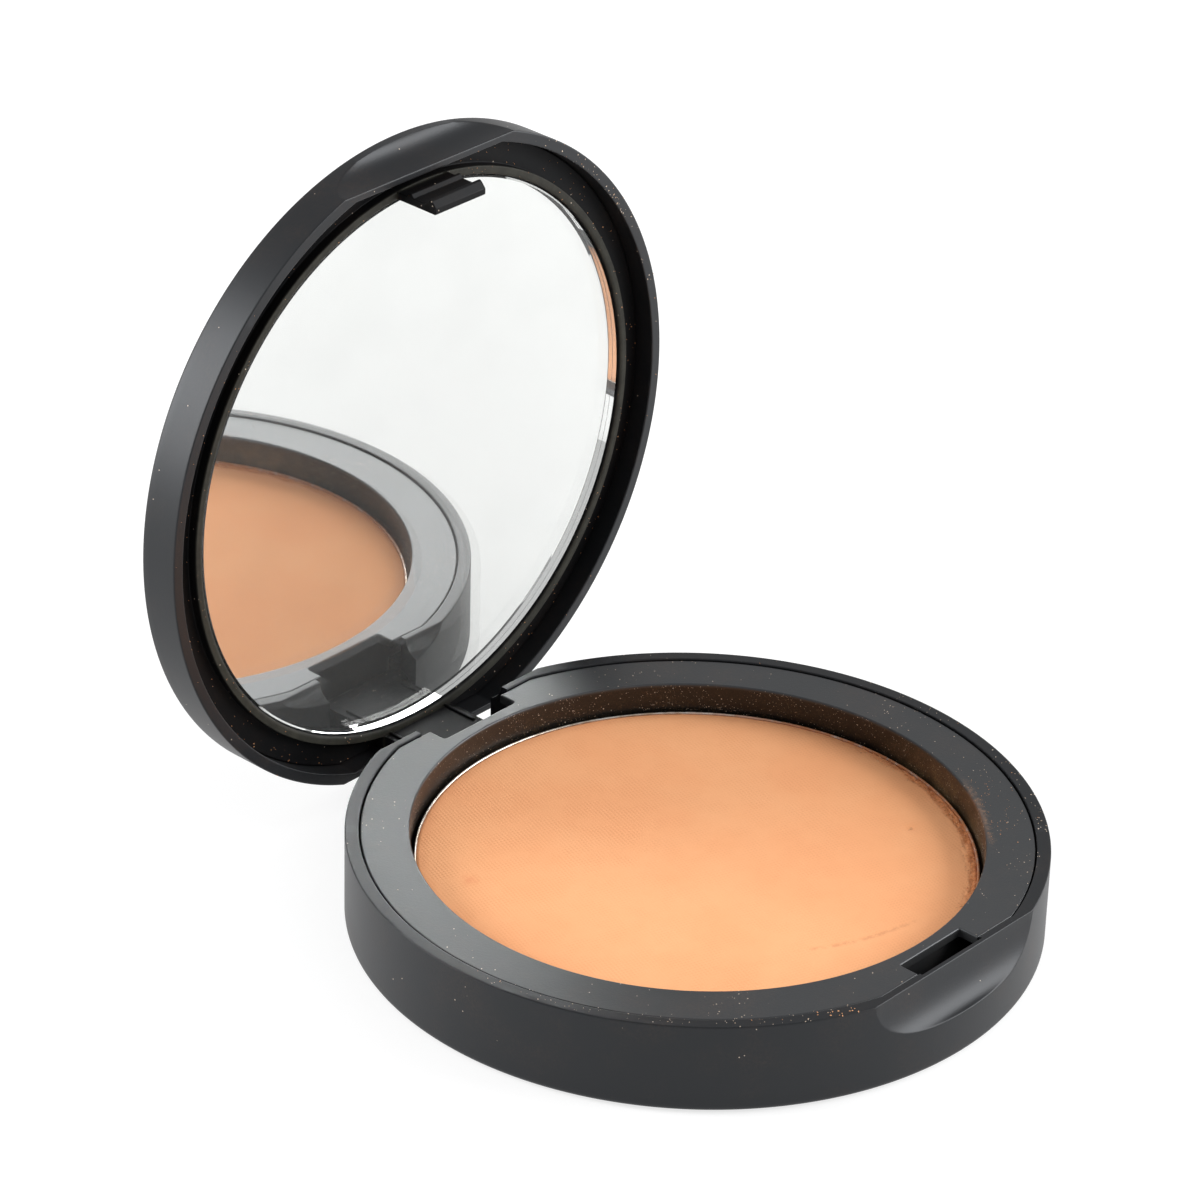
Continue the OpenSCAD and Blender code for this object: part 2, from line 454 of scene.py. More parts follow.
def make_base_shell(material):
    recess_r = label_r + 0.05     # shallow recess for the label
    closed_face = [(0, label_t - base_h), (recess_r, label_t - base_h), (recess_r, -base_h),
                   (recess_r + 0.5, -base_h), (case_r - foot_r - 0.5, -base_h)]
    bm = shell_half(base_h, foot_r, (front_scoop_h, rear_scoop_h), pocket_r, pocket_y,
                    base_h - floor_t, closed_face, base_pocket_wall)
    bmesh.ops.translate(bm, verts=bm.verts, vec=(0, 0, base_h))
    # lugs for the hinge pin, then the cut-out for the tongue's flap
    lug_t = 2.6
    lug_front, lug_back = hinge_y - 2.1, case_r - 1.2
    lug_foot, lug_top = floor_t - 0.3, hinge_z + 2.4
    cut_front = hinge_y - 2.2
    for side in (-1, 1):
        near, far = sorted((side * cut_x, side * (cut_x + lug_t)))
        lug = upright(box_outline(near, far, lug_front, lug_back), lug_foot, lug_top, 0.15)
        bm = combine(bm, lug, "UNION")
    cut = upright(box_outline(-cut_x, cut_x, cut_front, case_r + 1, 0.3), floor_t, base_h + 1, 0.02)
    bm = combine(bm, cut, "DIFFERENCE")
    return new_piece("base_case", bm, material, level_caps=True)


def make_lid_shell(material):
    bm = shell_half(lid_t, roof_r, (lid_scoop_h, lid_scoop_h), lid_pocket_r, lid_pocket_y,
                    lid_t - roof_t, [(0, -lid_t), (case_r - roof_r - 0.5, -lid_t)], plain_pocket_wall)
    bm.transform(Matrix.Translation((0, 0, lid_z)) @ Matrix.Scale(-1, 4, (0, 0, 1)))
    return new_piece("lid_case", bm, material, opened=True, level_caps=True)


# ---------------------------------------------------------------- tray, pan and powder

def deck_outline():
    """Edge of the deck, with the latch slot in front and the tongue's notch behind."""
    flat_x = math.sqrt(deck_r ** 2 - deck_y ** 2)
    turn = math.degrees(math.atan2(deck_y, flat_x))
    steps = 210
    right = arc(0, 0, deck_r, -turn, turn, steps)
    left = arc(0, 0, deck_r, 180 - turn, 180 + turn, steps)
    notch = rounded_outline([(flat_x, deck_y, 0), (notch_x, deck_y, 0.15), (notch_x, notch_y, 0.35),
                             (-notch_x, notch_y, 0.35), (-notch_x, deck_y, 0.15), (-flat_x, deck_y, 0)], 0)
    slot = rounded_outline([(-flat_x, -deck_y, 0), (-slot_x, -deck_y, 0.15), (-slot_x, -slot_y, 0.2),
                            (slot_x, -slot_y, 0.2), (slot_x, -deck_y, 0.15), (flat_x, -deck_y, 0)], 0)
    return right[:-1] + notch + left[1:-1] + slot[:-1]


def make_tray(material):
    bm = bmesh.new()
    outline = deck_outline()
    edge = 0.18
    underside = deck_z - 1.0
    rows = [[(x, y, underside) for x, y in outline]]
    for i in range(5):
        a = math.radians(90 * i / 4)
        shrunk = inset(outline, edge * (1 - math.cos(a)))
        rows.append([(x, y, deck_z - edge + edge * math.sin(a)) for x, y in shrunk])
    outside = add_rows(bm, rows)
    fillet = 0.5
    well_floor = floor_t + 1.0
    section = arc(well_r + 0.2, deck_z - 0.2, 0.2, 90, 180, 4)
    section += [(well_r, z) for z in (deck_z - 1.5, deck_z - 3.5, well_floor + fillet)]
    section += arc(well_r - fillet, well_floor + fillet, fillet, 0, -90, 4)[1:]
    well = add_rows(bm, [circle(r, z) for r, z in section + [(floor_cap_r, well_floor)]])
    bm.faces.new(well[-1])
    well_outside = well_r + well_wall
    below = [(well_outside, underside), (well_outside, floor_t), (floor_cap_r, floor_t)]
    under = add_rows(bm, [circle(r, z) for r, z in below])
    bm.faces.new(under[-1])
    fill_between(bm, [outside[-1], well[0]])
    fill_between(bm, [outside[0], under[0]], up=-1)
    return new_piece("well_tray", bm, material, level_caps=True)


def make_pan(material):
    """Drawn metal pan with a thin rim that is rounded over."""
    wall = pan_r - cake_r
    corner = 0.8
    low, top = pan_low.z, pan_high.z
    section = [(0, low)] + arc(pan_r - corner, low + corner, corner, -90, 0)
    section += [(pan_r, top - 0.6)] + arc(pan_r - wall / 2, top - wall / 2, wall / 2, 0, 180, 8)
    section += [(pan_r - wall, top - 0.6)]
    section += arc(pan_r - corner, low + corner, corner - wall, 0, -90) + [(0, low + wall)]
    return new_piece("metal_pan", turned(section), material)


def layered_noise(x, y, size, octaves=3, seed=0.0):
    """Smooth noise of about -1 to 1 with features of this size."""
    return noise.fractal(Vector((x / size, y / size, seed)), 0.9, 2.1, octaves)


def bump(x, y, centre, size):
    """1 at a spot's centre, falling to 0 about its size away."""
    return math.exp(-((x - centre[0]) ** 2 + (y - centre[1]) ** 2) / size ** 2)


CRUMBLED_SIDE = math.radians(-32)   # side of the pan where the powder's edge has broken up
CHIP = (20.6, -12.5)                # small chip in the powder
SMEAR = (-20.4, 13.9)               # reddish mark on the powder
SCUFF_CENTRE = (9.6, 2.2)           # middle of the arc along which the powder has been rubbed
SCUFF_R = 26.8                      # radius of that arc
SCUFF_SIDE = math.radians(-111)     # side of its middle where the rubbed stretch lies


def edge_wear(angle, side, width):
    """How far this angle is inside a worn stretch of the rim, 0 to 1."""
    away = (angle - side + math.pi) % (2 * math.pi) - math.pi
    return math.exp(-(away / width) ** 2)


def powder_height(x, y):
    """Relief of the pressed powder, in millimetres above its level."""
    radius, angle = math.hypot(x, y), math.atan2(y, x)
    height = 0.018 * layered_noise(x, y, 9.0, 2, 1.0)
    height += 0.004 * layered_noise(x, y, 0.8, 3, 2.0)
    crumbled = edge_wear(angle, CRUMBLED_SIDE, 0.75)
    from_edge = cake_r - radius
    width = 0.35 + 1.5 * crumbled * (0.6 + 0.5 * layered_noise(x, y, 3.0, 2, 3.0))
    pits = max(0.0, layered_noise(x, y, 0.7, 4, 4.0) + 0.15)
    height -= 0.34 * crumbled * pits * math.exp(-(from_edge / max(width, 0.2)) ** 2)
    across, along = x - SCUFF_CENTRE[0], y - SCUFF_CENTRE[1]
    scuffed = edge_wear(math.atan2(along, across), SCUFF_SIDE, 9 / SCUFF_R)
    scuffed *= math.exp(-((math.hypot(across, along) - SCUFF_R) / 0.45) ** 2)
    height -= 0.07 * scuffed * (0.7 + layered_noise(x, y, 0.9, 3, 5.0))
    height -= 0.28 * bump(x, y, CHIP, 0.55) * (0.9 + layered_noise(x, y, 0.3, 2, 6.0))
    height -= 0.10 * max(0.0, 1 - from_edge / 0.3) ** 2
    return height


def make_powder(material):
    """Pressed powder, finer towards its edge where it has crumbled."""
    bm = bmesh.new()
    count = 420
    fine_band = 3.2
    inner = list(np.linspace(1.2, cake_r - fine_band, 74))
    outer = list(np.linspace(cake_r - fine_band, cake_r, 40))[1:]
    level = cake_high.z
    rows = []
    for radius in inner + outer:
        row = []
        for x, y, _ in circle(radius, 0, count):
            height = powder_height(x, y)
            row.append((x, y, min(level + height, pan_high.z)))
        rows.append(row)
    corner = 0.5
    low = cake_low.z
    side = [(cake_r, level - 1.2), (cake_r, low + corner)]
    side += arc(cake_r - corner, low + corner, corner, 0, -90, 3)[1:]
    rows += [circle(r, z, count) for r, z in side]
    made = add_rows(bm, rows)
    for row in (made[0], made[-1]):
        bm.faces.new(row)
    return new_piece("pressed_powder", bm, material, sharp_angle=75, weighted=False)


# ---------------------------------------------------------------- hinge, mirror and lid frame

def make_lid_frame(material):
    """Frame that holds the mirror, with the latch hook and the hinge tongue as one moulding."""
    columns = []
    flats = math.acos(frame_y / frame_r)
    seat_floor = glass_back + 0.2
    for angle in column_angles((flats,)):
        cosine = max(abs(math.sin(angle)), 1e-6)
        outer = min(frame_r, frame_y / cosine)
        sharp = [(outer, channel_z + 0.6), (outer, channel_z), (lip_r, channel_z), (lip_r, lip_z),
                 (seat_r + 0.4, lip_z), (seat_r + 0.12, lip_z + 0.1), (seat_r, lip_z + 0.4),
                 (seat_r, glass_back - 0.4)]
        corners = [False, True, True, True, True, True, True, False]
        rounded = [tuple(p) for p in soften(sharp, corners, 0.07)]
        section = [(0, lid_top - roof_t), (outer, lid_top - roof_t)] + rounded
        section += [(seat_r, seat_floor), (0, seat_floor)]
        columns.append([(r * math.cos(angle), r * math.sin(angle), z) for r, z in section])
    bm = bmesh.new()
    add_rows(bm, columns + [columns[0]], around=False)
    for part in hook_and_tongue():
        bm = combine(bm, part, "UNION")
    bore_r = 0.8
    bore = along_x(arc(hinge_y, hinge_z, bore_r, 0, 360, 32)[:-1], cut_x + 1.2, 0.01)
    bm = combine(bm, bore, "DIFFERENCE")
    return new_piece("mirror_frame", bm, material, opened=True)


def hook_and_tongue():
    """Closed parts that are joined to the frame's disc, one after the other."""
    yield latch_hook()
    knuckle_r = 1.8               # barrel round the hinge pin
    tongue_face = hinge_y - knuckle_r
    tongue = rounded_outline([(tongue_face, hinge_z, 0), (frame_y, hinge_z, 0),
                              (frame_y, channel_z + 0.3, 0), (tongue_face, channel_z + 0.3, 0)], 0.1)
    yield along_x(tongue, 5.25, 0.12)
    yield along_x(arc(hinge_y, hinge_z, knuckle_r, 0, 360, 48)[:-1], cut_x - 0.1, 0.15)
    flap_r = case_r - 0.1
    flap_x = 6.6
    half = math.degrees(math.asin(flap_x / flap_r))
    flap = arc(0, 0, flap_r, 90 - half, 90 + half, 24) + [(-flap_x, frame_y), (flap_x, frame_y)]
    yield upright(flap, hinge_z, lid_z - 0.05, 0.15)
    rib_x, rib_half = 4.33, 0.19
    rib_front, rib_root = tongue_face - 0.25, tongue_face + 0.1
    for side in (-1, 1):
        x = side * rib_x
        rib = rounded_outline([(x - rib_half, rib_front, 0.12), (x + rib_half, rib_front, 0.12),
                               (x + rib_half, rib_root, 0), (x - rib_half, rib_root, 0)], 0.1)
        yield upright(rib, hinge_z + 2.6, lip_z, 0.08)


def latch_hook():
    """Hook that hangs from the front of the shut lid, with a grip notch and a nose."""
    back, face, nose = -seat_r, -seat_r - 0.85, -hook_nose
    end_z = lid_z - 4.45
    notch = face - 0.4
    hook = rounded_outline([
        (back, channel_z + 0.3, 0), (face, channel_z + 0.3, 0),
        (face, lid_z - 0.2, 0.12), (notch, lid_z - 0.55, 0.12), (notch, lid_z - 0.85, 0.12),
        (face, lid_z - 1.2, 0.12), (face, end_z + 1.6, 0.15), (nose, end_z + 0.9, 0.15),
        (nose + 0.1, end_z + 0.6, 0.15), (back - 0.75, end_z, 0.2), (back, end_z, 0.2)], 0.1)
    return along_x(hook[::-1] if signed_area(hook) < 0 else hook, 3.75, 0.1)


def signed_area(outline):
    points = np.array(outline, float)
    after = np.roll(points, -1, axis=0)
    return float((points[:, 0] * after[:, 1] - points[:, 1] * after[:, 0]).sum() / 2)


def make_glass(material):
    """Flat glass disc with a polished edge and a small bevel round its front."""
    bevel = 0.2
    edge = 0.05
    section = [(0, glass_front), (glass_r - bevel, glass_front), (glass_r, glass_front + bevel),
               (glass_r, glass_back - edge), (glass_r - edge, glass_back), (0, glass_back)]
    return new_piece("mirror_glass_disc", turned(section), material, sharp_angle=8, opened=True)


def make_silver(material):
    """Thin reflecting layer on the back of the glass."""
    radius = glass_r - 0.03
    front, back = glass_back - 0.03, glass_back + 0.02
    section = [(0, front), (radius, front), (radius, back), (0, back)]
    return new_piece("mirror_silvering", turned(section), material, opened=True)


def make_tape(material):
    low, high = shut_z(tape_low.y) + 0.03, shut_z(tape_high.y)
    radius = tape_high.x
    edge = 0.04
    section = [(0, low), (radius - edge, low), (radius, low + edge), (radius, high - edge),
               (radius - edge, high), (0, high)]
    return new_piece("mirror_tape_disc", turned(section, 120), material, opened=True)


def make_glue(material):
    """Glue under the pan, spread unevenly."""
    low, high = node_box("pan_glue")
    section = [(0, low.z), (high.x, low.z), (high.x, low.z + 0.05), (high.x - 0.15, high.z), (0, high.z)]
    bm = turned(section, 160)
    for vert in bm.verts:
        radius = math.hypot(vert.co.x, vert.co.y)
        if radius > 1:
            spread = 1 - 0.06 * abs(layered_noise(vert.co.x, vert.co.y, 5.0, 3, 7.0))
            vert.co.x *= spread
            vert.co.y *= spread
    return new_piece("pan_glue_spot", bm, material)


def make_label(material):
    radius, edge, top = label_r - 0.06, 0.02, label_t - 0.01
    section = [(0, 0), (radius - edge, 0), (radius, edge), (radius, top), (0, top)]
    return new_piece("underside_label", turned(section, 240), material)


def make_pin(material):
    """Hinge pin with domed ends."""
    radius, half = pin_high.z - hinge_z, pin_high.x
    dome = 0.25
    outline = [(0, -half)] + arc(radius - dome, dome - half, dome, -90, 0, 5)
    outline += arc(radius - dome, half - dome, dome, 0, 90, 5) + [(0, half)]
    bm = turned(outline, 64)
    bm.transform(Matrix.Translation((0, hinge_y, hinge_z)) @ Matrix.Rotation(math.pi / 2, 4, "Y"))
    return new_piece("steel_hinge_pin", bm, material)


# ---------------------------------------------------------------- shader helpers

def node(tree, kind, inputs=None, **settings):
    """Adds a node. An input is a value, or a socket to link from."""
    made = tree.nodes.new(kind)
    for key, value in settings.items():
        setattr(made, key, value)
    for key, value in (inputs or {}).items():
        socket = made.inputs[key]
        if isinstance(value, bpy.types.NodeSocket):
            tree.links.new(value, socket)
        else:
            socket.default_value = value
    return made


def math_node(tree, operation, a, b=0.0, clamp=False):
    return node(tree, "ShaderNodeMath", {0: a, 1: b}, operation=operation, use_clamp=clamp).outputs[0]


def times(tree, a, b, clamp=False):
    return math_node(tree, "MULTIPLY", a, b, clamp)


def ramp(tree, value, low, high, to_low=0.0, to_high=1.0):
    """Maps a value smoothly from low..high to to_low..to_high."""
    ends = {"From Min": low, "From Max": high, "To Min": to_low, "To Max": to_high}
    made = node(tree, "ShaderNodeMapRange", {"Value": value, **ends}, interpolation_type="SMOOTHSTEP")
    return made.outputs["Result"]


def blend(tree, factor, a, b):
    """Mixes two colours by a factor."""
    made = node(tree, "ShaderNodeMix", data_type="RGBA")
    for index, value in ((0, factor), (6, a), (7, b)):
        if isinstance(value, bpy.types.NodeSocket):
            tree.links.new(value, made.inputs[index])
        else:
            made.inputs[index].default_value = value
    return made.outputs[2]


def noise_value(tree, vector, size_mm, detail=2.0, roughness=0.5):
    """Noise with features of about this size in millimetres."""
    made = node(tree, "ShaderNodeTexNoise", {"Vector": vector, "Scale": 1 / (size_mm * MM), "Detail": detail,
                                             "Roughness": roughness})
    return made.outputs[0]


def srgb(red, green, blue):
    """A colour given in display values of 0 to 255."""
    def linear(c):
        c /= 255
        return c / 12.92 if c <= 0.04045 else ((c + 0.055) / 1.055) ** 2.4
    return (linear(red), linear(green), linear(blue), 1.0)


def new_group(name, inputs, outputs):
    """A shader node group with named float or vector inputs."""
    group = bpy.data.node_groups.new(name, "ShaderNodeTree")
    kinds = {"float": "NodeSocketFloat", "vector": "NodeSocketVector"}
    for label, kind, default in inputs:
        socket = group.interface.new_socket(label, in_out="INPUT", socket_type=kinds[kind])
        if default is not None:
            socket.default_value = default
    for label, kind in outputs:
        group.interface.new_socket(label, in_out="OUTPUT", socket_type=kinds[kind])
    return group, group.nodes.new("NodeGroupInput").outputs, group.nodes.new("NodeGroupOutput").inputs


def moulded_grain_group():
    """Fine texture of a satin moulding: small pits over a slow waviness."""
    group, given, result = new_group(
        "Moulded grain", [("Vector", "vector", None), ("Grain per metre", "float", 4000.0)],
        [("Height", "float"), ("Patches", "float")])
    fine = node(group, "ShaderNodeTexNoise", {"Vector": given["Vector"], "Scale": given["Grain per metre"],
                                              "Detail": 3.0, "Roughness": 0.6})
    slow = node(group, "ShaderNodeTexNoise", {"Vector": given["Vector"], "Scale": 70.0, "Detail": 2.0})
    group.links.new(fine.outputs[0], result["Height"])
    group.links.new(ramp(group, slow.outputs[0], 0.35, 0.65), result["Patches"])
    return group


def powder_dust_group():
    """Spilt powder: a thin haze in patches, and separate grains."""
    group, given, result = new_group(
        "Powder dust", [("Vector", "vector", None), ("Haze", "float", 0.2), ("Grains", "float", 0.2)],
        [("Haze mask", "float"), ("Grain mask", "float")])
    patches = ramp(group, noise_value(group, given["Vector"], 7, 5, 0.62), 0.42, 0.75)
    mottle = ramp(group, noise_value(group, given["Vector"], 0.35, 4, 0.7), 0.3, 0.8)
    haze = times(group, times(group, patches, mottle), given["Haze"], True)
    cells = node(group, "ShaderNodeTexVoronoi", {"Vector": given["Vector"], "Scale": 2400.0,
                                                 "Randomness": 1.0})
    spots = ramp(group, cells.outputs["Distance"], 0.10, 0.20, 1.0, 0.0)
    chosen = node(group, "ShaderNodeSeparateColor", {"Color": cells.outputs["Color"]}).outputs[0]
    limit = math_node(group, "SUBTRACT", 1.0, times(group, given["Grains"], patches))
    picked = math_node(group, "GREATER_THAN", chosen, limit)
    group.links.new(haze, result["Haze mask"])
    group.links.new(times(group, spots, picked), result["Grain mask"])
    return group


def edge_highlight_group():
    """Mask of the convex edges, which are painted lighter as a highlight and made slightly smoother."""
    group, given, result = new_group("Edge highlight and polish", [("Vector", "vector", None), ("Amount", "float", 0.5)],
                                     [("Mask", "float")])
    shape = node(group, "ShaderNodeNewGeometry")
    convex = ramp(group, shape.outputs["Pointiness"], 0.52, 0.60)
    broken = ramp(group, noise_value(group, given["Vector"], 1.3, 4, 0.6), 0.25, 0.7, 0.35, 1.0)
    mask = times(group, convex, broken)
    group.links.new(times(group, mask, given["Amount"], True), result["Mask"])
    return group


def press_weave_group():
    """Imprint of the cloth that powder is pressed through: two sets of fine threads."""
    group, given, result = new_group(
        "Press weave", [("Vector", "vector", None), ("Threads per metre", "float", 2400.0)],
        [("Height", "float")])
    sway = node(group, "ShaderNodeTexNoise", {"Vector": given["Vector"], "Scale": 300.0, "Detail": 2.0})
    heights = []
    for axis in ("X", "Y"):
        wave = node(group, "ShaderNodeTexWave", {"Vector": given["Vector"], "Distortion": 1.2, "Detail": 1.0,
                                                 "Detail Scale": 1.0}, bands_direction=axis)
        scale = math_node(group, "DIVIDE", given["Threads per metre"], math.pi)
        group.links.new(scale, wave.inputs["Scale"])
        heights.append(wave.outputs["Fac"])
    threads = times(group, heights[0], heights[1])
    worn = ramp(group, sway.outputs[0], 0.35, 0.6, 0.25, 1.0)
    group.links.new(times(group, threads, worn), result["Height"])
    return group


def brushed_group():
    """Fine scratches round the Z axis or along X, for metal."""
    group, given, result = new_group("Fine scratches", [("Vector", "vector", None)], [("Height", "float")])
    stretched = node(group, "ShaderNodeMapping", {"Vector": given["Vector"], "Scale": (1.0, 1.0, 40.0)})
    lines = node(group, "ShaderNodeTexNoise", {"Vector": stretched.outputs[0], "Scale": 900.0, "Detail": 4.0})
    group.links.new(lines.outputs[0], result["Height"])
    return group


def use_group(tree, group, inputs):
    made = tree.nodes.new("ShaderNodeGroup")
    made.node_tree = group
    for key, value in inputs.items():
        if isinstance(value, bpy.types.NodeSocket):
            tree.links.new(value, made.inputs[key])
        else:
            made.inputs[key].default_value = value
    return made.outputs


def new_material(name):
    """A material with its Principled shader and its object coordinates."""
    material = bpy.data.materials.new(name)
    material.use_nodes = True
    tree = material.node_tree
    shader = tree.nodes["Principled BSDF"]
    vector = node(tree, "ShaderNodeTexCoord").outputs["Object"]
    return material, tree, shader, vector


def link_bump(tree, shader, height, depth_mm):
    made = node(tree, "ShaderNodeBump", {"Height": height, "Distance": depth_mm * MM, "Strength": 1.0})
    tree.links.new(made.outputs[0], shader.inputs["Normal"])


# ---------------------------------------------------------------- materials

GRAIN = moulded_grain_group()
DUST = powder_dust_group()
EDGE_HIGHLIGHT = edge_highlight_group()
WEAVE = press_weave_group()
SCRATCHES = brushed_group()

POWDER_DUST = srgb(186, 138, 100)
PALE_DUST = srgb(205, 188, 170)
WALL_DUST = srgb(178, 145, 105)
SPILL_SIDE = -38              # side of the well, in degrees, where powder has been spilt
# painted shade: near black painted on the well's wall below the deck
WELL_WALL_SHADE = srgb(7, 6, 5)
# painted highlight: lighter grey painted on the top of the lip round the mirror
LIP_HIGHLIGHT = srgb(50, 49, 43)
COOL_SHINE = (0.92, 0.955, 1.0, 1.0)


def brighter(colour, factor):
    return tuple(min(1.0, c * factor) for c in colour[:3]) + (1.0,)


def spot_mask(tree, vector, centre, size):
    """1 at a point given in millimetres, fading to 0 about its size away, with a ragged edge."""
    place = tuple(c * MM for c in centre)
    away = node(tree, "ShaderNodeVectorMath", {0: vector, 1: place}, operation="DISTANCE").outputs["Value"]
    ragged = times(tree, noise_value(tree, vector, 0.45 * size, 4, 0.7), 1.2 * size * MM)
    return ramp(tree, math_node(tree, "ADD", away, ragged), 0.5 * size * MM, 1.3 * size * MM, 1.0, 0.0)


def side_mask(tree, vector, degrees, low, high):
    """Grows from 0 to 1 towards one side of the compact, seen from above."""
    side = (math.cos(math.radians(degrees)), math.sin(math.radians(degrees)), 0.0)
    along = node(tree, "ShaderNodeVectorMath", {0: vector, 1: side}, operation="DOT_PRODUCT").outputs["Value"]
    return ramp(tree, along, low * MM, high * MM)


def satin_black(name, colour, roughness, haze, grains, specular=0.35, grain_depth=0.006,
                edge_highlight_amount=0.6, soil_and_light=None):
    """Satin black moulding with spilt powder on it, its convex edges painted lighter as a highlight.

    The function given for soil and light adds the areas where powder has settled, and painted shade and a
    painted highlight:
    it takes the tree and the coordinates and gives pairs of a mask and a colour. The edge highlight amount is
    how far the edges are painted lighter.
    """
    material, tree, shader, vector = new_material(name)
    grain = use_group(tree, GRAIN, {"Vector": vector})
    dust = use_group(tree, DUST, {"Vector": vector, "Haze": haze, "Grains": grains})
    rubbed_and_highlit = use_group(tree, EDGE_HIGHLIGHT, {"Vector": vector, "Amount": edge_highlight_amount})
    # painted highlight: the convex edges are painted lighter
    body = blend(tree, rubbed_and_highlit["Mask"], colour, brighter(colour, 2.6))
    body = blend(tree, times(tree, grain["Patches"], 0.12), body, brighter(colour, 1.35))
    body = blend(tree, dust["Haze mask"], body, POWDER_DUST)
    if soil_and_light:
        for mask, tone in soil_and_light(tree, vector):
            body = blend(tree, mask, body, tone)
    body = blend(tree, dust["Grain mask"], body, PALE_DUST)
    tree.links.new(body, shader.inputs["Base Color"])
    smooth = ramp(tree, grain["Patches"], 0.0, 1.0, roughness - 0.008, roughness + 0.008)
    polished = math_node(tree, "SUBTRACT", smooth, times(tree, rubbed_and_highlit["Mask"], 0.10))
    dulled = math_node(tree, "ADD", polished, times(tree, dust["Haze mask"], 0.5), True)
    tree.links.new(dulled, shader.inputs["Roughness"])
    shader.inputs["Specular IOR Level"].default_value = specular
    shader.inputs["Specular Tint"].default_value = COOL_SHINE
    link_bump(tree, shader, grain["Height"], grain_depth)
    return material


def tray_soil_and_shade(tree, vector):
    """Painted shade on the well's wall below the deck, powder on that wall, most on the right, and spilt over
    the deck beside it.
    """
    height = node(tree, "ShaderNodeSeparateXYZ", {"Vector": vector}).outputs["Z"]
    radius = radius_from_axis(tree, vector)
    below = ramp(tree, height, (deck_z - 0.5) * MM, (deck_z - 0.15) * MM, 1.0, 0.0)
    in_well = ramp(tree, radius, (well_r + 0.2) * MM, (well_r + 0.6) * MM, 1.0, 0.0)
    low = ramp(tree, height, pan_high.z * MM, (deck_z - 0.4) * MM, 1.0, 0.5)
    fine = ramp(tree, noise_value(tree, vector, 0.20, 5, 0.75), 0.45, 0.72)
    patchy = ramp(tree, noise_value(tree, vector, 3.0, 4, 0.6), 0.3, 0.75, 0.3, 1.0)
    right = side_mask(tree, vector, SPILL_SIDE, 22, 30)
    even = ramp(tree, right, 0.0, 1.0, 0.0, 0.22)
    spotted = times(tree, fine, ramp(tree, right, 0.0, 1.0, 0.20, 0.62))
    wall = math_node(tree, "ADD", even, spotted)
    wall = times(tree, wall, times(tree, low, patchy))
    # the well's wall below the deck is painted near black as shade
    on_wall = times(tree, below, in_well)
    wall = times(tree, wall, on_wall)
    # the spill lies along the well's edge and thins out in short streaks
    streaks = times(tree, noise_value(tree, vector, 0.5, 5, 0.8), 3.4 * MM)
    reach = math_node(tree, "SUBTRACT", radius, streaks)
    near = ramp(tree, reach, (well_r - 2.6) * MM, (well_r - 0.7) * MM, 1.0, 0.0)
    spill = times(tree, near, side_mask(tree, vector, SPILL_SIDE, 30.0, 31.0))
    on_top = math_node(tree, "SUBTRACT", 1.0, below)
    spill = times(tree, spill, times(tree, on_top, 0.55))
    return [(on_wall, WELL_WALL_SHADE), (wall, WALL_DUST), (spill, POWDER_DUST)]


def frame_lip_highlight(tree, vector):
    """Painted highlight: a lighter grey painted unevenly on the top of the lip round the mirror."""
    lip_y = hinge_y + lip_z - hinge_z
    along = node(tree, "ShaderNodeSeparateXYZ", {"Vector": vector}).outputs["Y"]
    away = math_node(tree, "ABSOLUTE", math_node(tree, "SUBTRACT", along, lip_y * MM))
    on_lip = ramp(tree, away, 0.08 * MM, 0.30 * MM, 1.0, 0.0)
    uneven = ramp(tree, noise_value(tree, vector, 2.0, 5, 0.7), 0.3, 0.7, 0.55, 1.0)
    return [(times(tree, on_lip, uneven), LIP_HIGHLIGHT)]


